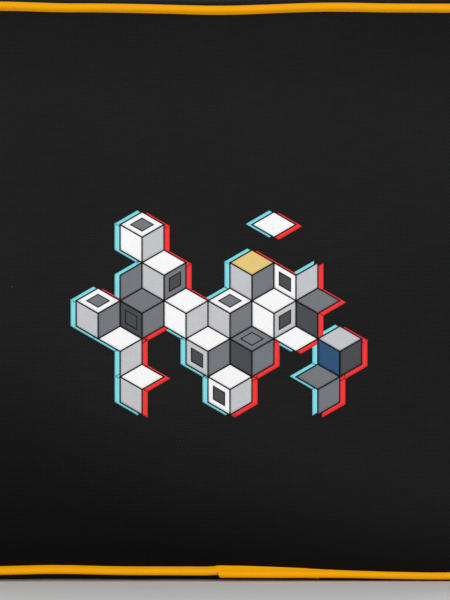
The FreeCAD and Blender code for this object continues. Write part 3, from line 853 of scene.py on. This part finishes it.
def soften(name, node, body, slot, material, width):
    # copy of a CAD node with its edges rounded
    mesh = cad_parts[node].data.copy()
    mesh.name = name
    mesh.materials.clear()
    obj = place(mesh, body, slot, material, node)
    adjust(obj.modifiers.new("merge", "WELD"), merge_threshold=0.000005)
    edge = obj.modifiers.new("roundEdges", "BEVEL")
    adjust(edge, width=width, segments=2, limit_method="ANGLE", angle_limit=math.radians(38))
    finished = bpy.data.meshes.new_from_object(obj.evaluated_get(bpy.context.evaluated_depsgraph_get()))
    obj.modifiers.clear()
    obj.data = finished
    finished.shade_smooth()
    adjust(obj.modifiers.new("faces", "WEIGHTED_NORMAL"), keep_sharp=True)


pull = {  # metres
    "neck": 0.0034,
    "end": 0.0043,
    "length": 0.030,
    "arm": 0.0016,
    "window": 0.0066,
    "windowCorner": 0.0007,
    "hole": 0.0020,
    "rounding": 0.0003,
    "play": 0.0002,
    "bar": ((1, 0), (1, 0.72), (0.98, 0.93), (0.93, 0.995)),
}


def arcAround(x, y, radius, start, turn, count):
    angle = np.radians(np.linspace(start, start + turn, count))
    return together(x + radius * np.cos(angle), y + radius * np.sin(angle))


def insetLoop(loop, distance):
    # moves a closed outline into the material on its left, mitred at its corners
    way = unit(np.roll(loop, -1, 0) - loop)
    left = together(-way[:, 1], way[:, 0])
    before = np.roll(left, 1, 0)
    return loop + (left + before) / (1 + (left * before).sum(1, keepdims=True)) * distance


def roundedRim(loop, hinge, height, thick):
    # wall of a plate along one of its outlines: a quarter circle at its foot and one at its top
    phi, rounding = np.linspace(0, math.pi / 2, 6), pull["rounding"]
    inset = rounding * (1 - np.cos(phi))
    up = thick / 2 - rounding + rounding * np.sin(phi)
    rings = zip(np.concatenate([inset[::-1], inset]), np.concatenate([-up[::-1], up]))
    rings = [np.insert(insetLoop(loop, deep) + (hinge, 0), 2, height + z, axis=1) for deep, z in rings]
    return grid(np.stack(rings), closed=True)


def makePull():
    # a flat blade between two outlines, forked at the hinge and with a hole, and a round bar across the fork
    low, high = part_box("zip_pull")
    thick, height = high.z - low.z, (high.z + low.z) / 2
    hinge, neck, end, corner = high.x - thick / 2, pull["neck"], pull["end"], pull["windowCorner"]
    inner, tip, deep = neck - pull["arm"], end - pull["length"], corner - pull["window"]
    low = arcAround(deep, corner - inner, corner, 270, -90, 9)
    high = arcAround(deep, inner - corner, corner, 180, -90, 9)
    tail = arcAround(tip, 0, end, 90, 180, 49)
    outline = np.concatenate([[(0, neck)], tail, [(0, -neck), (0, -inner)], low, high, [(0, inner)]])
    hole = arcAround(tip, 0, pull["hole"], 0, -360, 41)[:-1]
    parts = [roundedRim(loop, hinge, height, thick) for loop in (outline, hole)]
    y, radius = np.array(pull["bar"]).T[..., None]
    y, radius = np.concatenate([-y, y[::-1]]) * (neck - pull["play"]), np.concatenate([radius, radius[::-1]])
    radius, angle = radius * thick / 2, circle(24)
    bar = together(hinge + radius * np.cos(angle), y, height + radius * np.sin(angle))
    mesh = meshFrom("zipPull", parts + [grid(bar, closed=True)], closeEnds=True)
    whole = bmesh.new()
    whole.from_mesh(mesh)
    openEdges = [edge for edge in whole.edges if edge.is_boundary]
    for side in (-1, 1):
        rim = [edge for edge in openEdges if (edge.verts[0].co.z - height) * side > 0]
        bmesh.ops.triangle_fill(whole, use_beauty=True, edges=rim)
    bmesh.ops.recalc_face_normals(whole, faces=whole.faces[:])
    whole.to_mesh(mesh)
    whole.free()
    mesh.shade_smooth()
    obj = place(mesh, "pull", "zip_metal", nickel, "zip_pull")
    obj.modifiers.new("faces", "WEIGHTED_NORMAL")


makeTapes()
dress(mouldedTeeth, "zip_teeth_front", "zip_teeth_back")
soften("zipSlider", "zip_slider", "slider", "zip_metal", nickel, 0.00025)
makePull()
dress(nickel, "strap_rivet_right", "strap_rivet_left", "strap_ring")
soften("strapSlide", "strap_slide", "strap", "strap_metal", nickel, 0.0004)
print("zip and metal made")

# strap

strap = {  # metres and degrees, drawn standing up over the rivets and then swung to where it hangs
    "width": 0.038,
    "thick": 0.0018,
    "inner": 0.192,
    "rivet": 0.222,
    "lean": 31.044,
    "leg": 0.122,
    "bend": 0.100,
    "tail": 0.018,
    "ring": 0.040,
    "ringHeight": 0.010,
    "foldRadius": 0.0016,
    "foldRun": 0.016,
    "slideStart": 0.090,
    "slideBar": 0.004,
    "slideSlot": 0.008,
    "slideThick": 0.0024,
    "slideGap": 0.00015,
    "crease": 0.0008,
    "smallBend": 0.001,
    "hem": 0.024,
    "waves": (0.00018, 0.05),
    "wavesStart": (0, 0.02),
    "backFlow": 0.1,
    "step": 0.0016,
    "lanes": 15,
}


def straight(start, end, last=False):
    count = max(2, int(np.linalg.norm(end - start) / strap["step"]))
    return start + (end - start) * np.linspace(0, 1, count, endpoint=last)[:, None]


def roundedPath(corners):
    # straight runs and arcs through (x, height, radius) corners, as even points
    x, h, radius = np.array(corners, float).T
    spots = together(x, h)
    way = unit(np.diff(spots, axis=0))
    bits, here = [], spots[0]
    for index in range(1, len(corners) - 1):  # a handful of corners
        before, after = way[index - 1], way[index]
        turn = math.atan2(before[0] * after[1] - before[1] * after[0], float(before @ after))
        run = radius[index] * math.tan(abs(turn) / 2)
        start = spots[index] - before * run
        centre = start + np.array([-before[1], before[0]]) * math.copysign(radius[index], turn)
        count = max(4, int(abs(turn) * radius[index] / strap["step"]))
        angle = np.linspace(0, turn, count, endpoint=False)[:, None]
        spoke = start - centre
        arc = spoke * np.cos(angle) + np.array([-spoke[1], spoke[0]]) * np.sin(angle)
        bits += [straight(here, start), centre + arc]
        here = spots[index] + after * run
    line = np.concatenate(bits + [straight(here, spots[-1], last=True)])
    return line[np.append(True, np.diff(runLength(line)) > 1e-7)]


def hang(points):
    # swings points drawn straight up over the rivets back to where the strap hangs
    turn = math.radians(strap["lean"] - 180)
    y, z = points[..., 1], points[..., 2] - strap["rivet"]
    height = strap["rivet"] + y * math.sin(turn) + z * math.cos(turn)
    return together(points[..., 0], y * math.cos(turn) - z * math.sin(turn), height)


def webbingStrip(corners, seed):
    # a flat band with rounded edges and a faint wave, carried along a path that is its inner face; the path
    # is drawn from behind, so its x is turned round
    half, thick = strap["width"] / 2 - strap["thick"] / 2, strap["thick"]
    line = roundedPath(corners)
    along = runLength(line)
    way = unit(np.gradient(line, along, axis=0))
    out = together(way[:, 1], -way[:, 0])
    lanes, flat = np.linspace(-1, 1, strap["lanes"]) * half, np.ones(strap["lanes"])
    rim = np.linspace(-math.pi / 2, math.pi / 2, 7)[1:-1]
    edge = half + thick / 2 * np.cos(rim)
    across = np.concatenate([lanes, edge, -lanes, -edge])
    up = np.concatenate([-flat, np.sin(rim), flat, -np.sin(rim)]) * thick / 2
    paintedLightByHeight = smoothStep(along, *strap["wavesStart"])[:, None]
    high = thick / 2 + up + softNoise(along[:, None], across, seed, strap["waves"]) * paintedLightByHeight
    x, h = (line[:, axis, None] + out[:, axis, None] * high for axis in (0, 1))
    points = together(-x, across, strap["rivet"] + h)
    x, h = (line[[0, -1]] + out[[0, -1]] * thick / 2).T[..., None]
    tips = together(-x, 0, strap["rivet"] + h) + 0 * points[:1]
    lap = across + (up > 0) * strap["backFlow"]
    uv = together(along[:, None], np.append(lap, lap[0]))
    uv = np.concatenate([uv[:1], uv, uv[-1:]])
    return grid(hang(np.concatenate([tips[:1], points, tips[1:]])), uv, closed=True)


def makeStrap():
    # one length of webbing that is folded through the ring, threaded through the slide and doubled at its
    # far end, and the short doubled piece that holds the ring; each corner is distance out, height, radius
    inner, thick, fold, tail = strap["inner"], strap["thick"], strap["foldRadius"], strap["tail"]
    bar, slot, gap, crease = strap["slideBar"], strap["slideSlot"], strap["slideGap"], strap["crease"]
    bend, foldRun, small, ring = strap["bend"], strap["foldRun"], strap["smallBend"], strap["ring"]
    doubled, far = inner + thick, inner + thick + 2 * fold
    back = doubled + thick + gap
    front = back + strap["slideThick"]
    loopFront, loopBack = front + gap, back - gap
    loopRadius, over = (loopFront - loopBack) / 2, loopFront + thick
    slideLow = strap["slideStart"] + bar
    barLow = slideLow + slot
    barHigh, upperBar, reach = barLow + bar, ring + strap["ringHeight"], strap["leg"] + bend
    loopTop, foldLow, foldHigh = barHigh + loopRadius, upperBar - fold, ring + fold
    loop = [
        (loopFront, barLow, 0), (loopFront, loopTop, loopRadius), (loopBack, loopTop, loopRadius),
        (loopBack, barLow, crease), (doubled, slideLow, crease), (doubled, upperBar, 0),
    ]
    longRun = [
        (doubled, upperBar, 0), (doubled, foldLow, fold), (far, foldLow, fold),
        (far, upperBar + crease, crease), (doubled, upperBar + foldRun, crease),
        (doubled, slideLow + slot / 8, crease + thick), (over, barLow - slot / 8, crease),
        (over, barHigh, crease), (inner, barHigh + slot * 7 / 8, crease + thick),
        (inner, reach, bend), (-inner, reach, bend), (-inner, -tail, 0),
    ]
    hem = [(-doubled, strap["hem"], 0), (-doubled, 0, small), (-doubled, -tail, 0)]
    anchor = [
        (doubled, -tail, 0), (doubled, ring - foldRun, crease), (far, ring - crease, crease),
        (far, foldHigh, fold), (doubled, foldHigh, fold), (doubled, ring, small), (doubled, -tail, 0),
    ]
    for name, node, paths, seed in (
        ("strapWebbing", "strap_webbing", (longRun, loop, hem), 61),
        ("strapAnchor", "strap_anchor_webbing", (anchor,), 64),
    ):
        parts = [webbingStrip(path, seed + index) for index, path in enumerate(paths)]
        place(meshFrom(name, parts, closeEnds=True), "strap", "webbing", webbingCloth, node)


patch = {  # metres
    "half": 0.019,
    "low": 0.188,
    "high": 0.235,
    "thick": 0.0015,
    "sunk": 0.0004,
    "backing": 0.0006,
    "waves": (0.00008, 0.6),
    "closeness": 0.4,
    "grid": (40, 48),
}


def makePatches():
    # flat pads with rounded rims that stand on the sides behind the strap's ends
    y, z = np.meshgrid(*(evenly(count, patch["closeness"]) for count in patch["grid"]))
    rim = np.clip(1 - np.maximum(np.abs(y) ** 22, np.abs(z) ** 26), 0, 1) ** 0.5
    out = gussetHigh.x - patch["sunk"] + patch["thick"] * rim + softNoise(y, z, 71, patch["waves"], 2)
    height = (patch["high"] + patch["low"]) / 2 + z * (patch["high"] - patch["low"]) / 2
    y = y * patch["half"]
    for end, sign in (("Right", 1), ("Left", -1)):
        mesh = meshFrom("sidePatch" + end, [grid(together(sign * out, y, height), together(height, y))])
        place(mesh, "bag", "webbing", webbingCloth, "side_patch_" + end.lower(), wall=patch["backing"])


makeStrap()
makePatches()
print("strap made")

# stitching

stitch = {  # metres; "inset" says how far each line of stitches lies in from its edge
    "pitch": 0.0031,
    "long": 0.0024,
    "radius": 0.00026,
    "sink": 0.00018,
    "rings": 7,
    "sides": 6,
    "slotInset": 0.0022,
    "hemInsets": (0.002, 0.0075),
    "hemHalf": 0.057,
    "patchInset": 0.0022,
    "strapInset": 0.003,
    "endInset": 0.002,
    "rivetClear": 0.0085,
    "foldBox": (0.0665, 0.086),
    "crossed": 0.012,
}


def stitchRun(path, outward):
    # short plump threads laid end to end along a line: a tube that dips under the cloth at both ends
    outward = np.broadcast_to(outward, path.shape)
    along = runLength(path)
    count = max(1, int(along[-1] / stitch["pitch"]))
    t = np.linspace(-0.5, 0.5, stitch["rings"])
    at = (np.arange(count)[:, None] + 0.5) * along[-1] / count + t * stitch["long"]
    centre, up = (
        np.stack([np.interp(at, along, table[:, axis]) for axis in range(3)], -1) for table in (path, outward)
    )
    up, way = unit(up), unit(np.gradient(centre, axis=1))
    centre = centre + up * (stitch["radius"] * 0.5 - stitch["sink"] * 3 * (2 * t[:, None]) ** 4)
    thickness = (stitch["radius"] * (1 - (2 * t) ** 6))[:, None, None]
    angle = circle(stitch["sides"])[:, None]
    ring = np.cos(angle) * up[:, :, None] + np.sin(angle) * np.cross(way, up)[:, :, None]
    return centre[:, :, None] + ring * thickness


def stitchMesh(name, runs, swing=False):
    # all the stitches as one mesh, without the cells between the last ring of one and the first of the next
    rings, sides = stitch["rings"], stitch["sides"]
    rows = np.concatenate(runs).reshape(-1, sides, 3)
    keep = np.ones((len(rows) - 1, sides), bool)
    keep[rings - 1 :: rings] = False
    return meshFrom(name, [grid(hang(rows) if swing else rows, closed=True, keep=keep)], closeEnds=True)


def bandRun(s, v, count=160):
    # a stitched line on the zip band between two (seam length, depth) places
    s, v = np.linspace(*s, count), np.linspace(*v, count)
    outX, outZ = seamPoint(s)[2:]
    return stitchRun(gussetSurface(s, v, zipBandLift(s, v)), together(outX, 0, outZ))


def boxRuns(sign, out, half, low, high, crossed=False):
    # a stitched rectangle on one side of the bag, with its diagonals where it is crossed
    a, b, c, d = np.array([(-half, low), (half, low), (half, high), (-half, high)])
    lines = [(a, b), (b, c), (c, d), (d, a)] + [(a, c), (b, d)] * crossed
    t = np.linspace(0, 1, 40)[:, None]
    return [stitchRun(np.insert(p + (q - p) * t, 0, sign * out, axis=1), (sign, 0, 0)) for p, q in lines]


def makeBagStitching():
    # round the zip's slot, twice down each side seam, and round the side patches
    inset = stitch["slotInset"]
    a, b, w = slotStart - inset, slotEnd + inset, gusset["slotHalfWidth"] + inset
    corners = [(a, -w), (b, -w), (b, w), (a, w), (a, -w)]
    runs = [bandRun(*zip(start, end)) for start, end in zip(corners, corners[1:])]
    ends = (-stitch["hemHalf"], stitch["hemHalf"])
    for inset in stitch["hemInsets"]:
        for s in (rightSeam + inset, wholeSeam - rightSeam - inset):
            runs.append(bandRun((s, s), ends, 90))
    inset, out = stitch["patchInset"], gussetHigh.x - patch["sunk"] + patch["thick"]
    for sign in (-1, 1):
        runs += boxRuns(sign, out, patch["half"] - inset, patch["low"] + inset, patch["high"] - inset)
    place(stitchMesh("bagStitching", runs), "bag", "shell_cloth", stitchThread)


def makeStrapStitching():
    # boxes above and below the rivets and over the fold under the slide, crossed where they are long
    inset, clear = stitch["endInset"], stitch["rivetClear"]
    below = (inset - strap["tail"], -clear)
    boxes = (
        (1, clear, strap["hem"] - inset), (-1, clear, strap["ring"] - strap["foldRun"] - inset / 2),
        (1, *below), (-1, *below), (-1, *stitch["foldBox"]),
    )
    out, half = strap["inner"] + 2 * strap["thick"], strap["width"] / 2 - stitch["strapInset"]
    rivet, runs = strap["rivet"], []
    for sign, low, high in boxes:
        runs += boxRuns(sign, out, half, rivet + low, rivet + high, high - low > stitch["crossed"])
    place(stitchMesh("strapStitching", runs, swing=True), "strap", "webbing", stitchThread)


makeBagStitching()
makeStrapStitching()
print("stitching made")

# print on the front: a loose cluster of tumbling blocks

ink = {  # metres; the levels are how many films high each layer lies
    "middle": (0.0005, 0.1325),
    "columnMiddle": 2.75,
    "rowMiddle": 2,
    "edge": 0.0124,
    "line": 0.00034,
    "cyanShift": (-0.0023, 0.0003),
    "redShift": (0.0024, -0.0008),
    "film": 0.00005,
    "filmThick": 0.00004,
    "levels": (1, 1.6, 2.4, 3.4, 4.2, 5.0),
    "wearAndShade": 0.7,
    "wornTone": 0.86,
    "grain": 160.0,
    "relief": 0.00006,
}
inkColours = {
    "white": gray(0.93), "pale": (0.53, 0.54, 0.57, 1), "mid": (0.160, 0.170, 0.190, 1),
    "dark": (0.050, 0.053, 0.060, 1), "line": gray(0.004), "cyan": (0.20, 0.72, 0.80, 1),
    "red": (0.90, 0.022, 0.022, 1), "gold": (0.78, 0.56, 0.18, 1), "blue": (0.008, 0.066, 0.165, 1),
}
blockInks = {  # inks of a block's top, left and right
    "plain": ("white", "pale", "mid"),
    "bright": ("white", "white", "pale"),
    "deep": ("mid", "dark", "mid"),
    "warm": ("gold", "pale", "mid"),
    "cool": ("pale", "blue", "dark"),
}
blocks = (
    # column, row, faces shown (top, left, right), inks, face with a smaller shape inside
    (1, 4, "TLR", "bright", "T"), (4, 4, "T", "plain", ""), (0, 3, "R", "plain", ""),
    (1, 3, "TLR", "plain", "R"), (3, 3, "TLR", "warm", ""), (4, 3, "LR", "bright", "L"),
    (0, 2, "TLR", "plain", "T"), (1, 2, "TLR", "deep", "L"), (2, 2, "TLR", "bright", ""),
    (3, 2, "TLR", "plain", "T"), (4, 2, "TLR", "bright", "R"), (5, 2, "TL", "deep", ""),
    (0, 1, "TR", "bright", ""), (2, 1, "TLR", "plain", "L"), (3, 1, "TLR", "deep", "T"),
    (4, 1, "T", "plain", ""), (5, 1, "TLR", "cool", ""),
    (1, 0, "TL", "plain", ""), (3, 0, "TLR", "bright", "L"), (5, 0, "TR", "deep", ""),
)
wide = math.sqrt(3) / 2
blockFaces = {  # the three rhombuses of a block of edge 1, drawn at an even slant
    "T": ((0, 1), (wide, 0.5), (0, 0), (-wide, 0.5)),
    "L": ((-wide, 0.5), (0, 0), (0, -1), (-wide, -0.5)),
    "R": ((wide, 0.5), (wide, -0.5), (0, -1), (0, 0)),
}


def stretched(corners, count=12):
    # the flat patch between four corners: each point is a blend of all four
    t, u = np.meshgrid(np.linspace(0, 1, count), np.linspace(0, 1, count))
    return together((1 - t) * (1 - u), t * (1 - u), t * u, (1 - t) * u) @ corners


def panelAt(x, z):
    # depth of the front panel at places in its middle, blended from the four points of its grid round each
    rows, columns = frontFace[:, panel["grid"][0] // 2, 2], frontFace[panel["grid"][1] // 2, :, 0]
    i, j = np.interp(z, rows, np.arange(len(rows))), np.interp(x, columns, np.arange(len(columns)))
    i0, j0 = np.clip(i.astype(int), 0, len(rows) - 2), np.clip(j.astype(int), 0, len(columns) - 2)
    fi, fj, y = i - i0, j - j0, frontFace[..., 1]
    low, high = (y[row, j0] * (1 - fj) + y[row, j0 + 1] * fj for row in (i0, i0 + 1))
    return low * (1 - fi) + high * fi


def makeInk(name, colour):
    # flat ink that is worn a little paler in patches and shows the weave under it
    material, tree, shader = startMaterial(name, {"Roughness": 0.55, "Specular IOR Level": 0.25})
    thin = tuple(channel * ink["wornTone"] for channel in colour[:3]) + (1,)
    patches = stretchRange(tree, slowTone(tree, ink["grain"]), 0.0, ink["wearAndShade"])
    wearAndShade = blendColours(tree, patches, colour, thin)
    finishMaterial(tree, shader, wearAndShade, useWeave(tree, shellLook)["Height"], ink["relief"])
    return material


def makePrint():
    # every face is laid four times: a cyan and a red one shifted aside, a dark one, and its own ink inside
    # that; some have a smaller dark shape with an ink of its own inside it
    layers = {label: [] for label in inkColours}
    edge = ink["edge"]
    grow = ink["line"] / (edge * wide / 2)

    def lay(label, corners, size, level, shift=(0, 0)):
        middle = corners.mean(0)
        spot = stretched(middle + (corners - middle) * size) + shift
        y = panelAt(spot[..., 0], spot[..., 1]) - ink["levels"][level] * ink["film"]
        layers[label].append(grid(np.insert(spot, 1, y, axis=-1), spot))

    for column, row, faces, inks, inner in blocks:
        across, up = column + row % 2 / 2 - ink["columnMiddle"], row - ink["rowMiddle"]
        for face in faces:
            at = ink["middle"] + np.array([across * 2 * wide * edge, up * 1.5 * edge])
            corners = at + np.array(blockFaces[face]) * edge
            lay("cyan", corners, 1 + grow, 0, ink["cyanShift"])
            lay("red", corners, 1 + grow, 1, ink["redShift"])
            lay("line", corners, 1 + grow, 2)
            lay(blockInks[inks]["TLR".index(face)], corners, 1 - grow, 3)
            if face == inner:
                lay("line", corners, 0.5 + grow, 4)
                lay("mid" if face == "T" else "dark", corners, 0.5 - grow / 2, 5)
    for label, parts in layers.items():
        name = "print" + label.capitalize()
        material = makeInk(name + "Ink", inkColours[label])
        place(meshFrom(name, parts), "bag", "shell_cloth", material, wall=ink["filmThick"])


makePrint()
print("print made")

# floor, light and camera

stage = {"floor": (0.80, 0.82), "patch": 3.0, "backdrop": 0.545, "world": 0.66, "half": 14.0}


def makeStage():
    # a wide flat floor in paint that is faintly uneven, and a plain room that looks darker than it lights
    x, y = np.meshgrid([-stage["half"], stage["half"]], [-stage["half"], stage["half"]])
    mesh = meshFrom("floor", [grid(together(x, y, 0), inside=(0, 0, -1))])
    floor = newObject("floor", mesh)
    material, tree, shader = startMaterial("floorPaint", {"Roughness": 0.9, "Specular IOR Level": 0.1})
    paints = (gray(value) for value in stage["floor"])
    feed(tree, shader.inputs["Base Color"], blendColours(tree, slowTone(tree, stage["patch"]), *paints))
    mesh.materials.append(material)
    world = bpy.data.worlds.new("softRoom")
    bpy.context.scene.world = world
    world.use_nodes = True
    tree = world.node_tree
    tree.nodes.remove(tree.nodes["Background"])
    light, seen = (
        newNode(tree, "Background", {"Color": gray(tone), "Strength": strength}).outputs[0]
        for tone, strength in ((1.0, stage["world"]), (stage["backdrop"], 1.0))
    )
    ray = newNode(tree, "LightPath").outputs
    looked = sums(tree, "MAXIMUM", ray["Is Camera Ray"], ray["Is Glossy Ray"])
    looked = sums(tree, "MAXIMUM", looked, ray["Is Transmission Ray"])
    chosen = newNode(tree, "MixShader", {0: looked, 1: light, 2: seen}).outputs[0]
    feed(tree, tree.nodes["World Output"].inputs[0], chosen)


def aimed(spot, aim):
    # turns a lamp or camera, which look down their own -Z, towards a point
    dx, dy, dz = (b - a for a, b in zip(spot, aim))
    return math.atan2(math.hypot(dx, dy), -dz), 0, math.atan2(-dx, dy)


lamps = {  # metres, degrees and watts; the beam is narrow, so that the floor under a lamp stays plain
    "aim": (0, 0, 0.14),
    "size": 1.6,
    "beam": 60,
    "each": (
        ("key", (0.7, -3.3, 0.85), 7.2),
        ("backLeft", (-2.2, 2.4, 1.3), 3.5),
        ("backRight", (2.4, 2.0, 1.3), 3.0),
    ),
}


def makeLamps():
    for name, spot, watts in lamps["each"]:
        data = bpy.data.lights.new(name, "AREA")
        adjust(data, size=lamps["size"], energy=watts, spread=math.radians(lamps["beam"]))
        adjust(newObject(name, data), location=spot, rotation_euler=aimed(spot, lamps["aim"]))


view = {  # metres, with the width of the sensor in millimetres
    "aim": (0.00345, -0.060, 0.1389),
    "distance": 1.5,
    "rise": 0.02,
    "seenHeight": 0.2956,
    "sensor": 36,
}


def makeCamera():
    data = bpy.data.cameras.new("camera")
    lens = view["sensor"] * view["distance"] / view["seenHeight"]
    adjust(data, sensor_width=view["sensor"], lens=lens, clip_start=0.05, clip_end=30)
    data.dof.use_dof = False
    x, y, z = view["aim"]
    spot = (x, y - view["distance"], z + view["rise"])
    camera = newObject("camera", data)
    adjust(camera, location=spot, rotation_euler=aimed(spot, view["aim"]))
    bpy.context.scene.camera = camera


makeStage()
makeLamps()
makeCamera()
bpy.context.scene.view_settings.view_transform = "Standard"
print("stage, lamps and camera made")
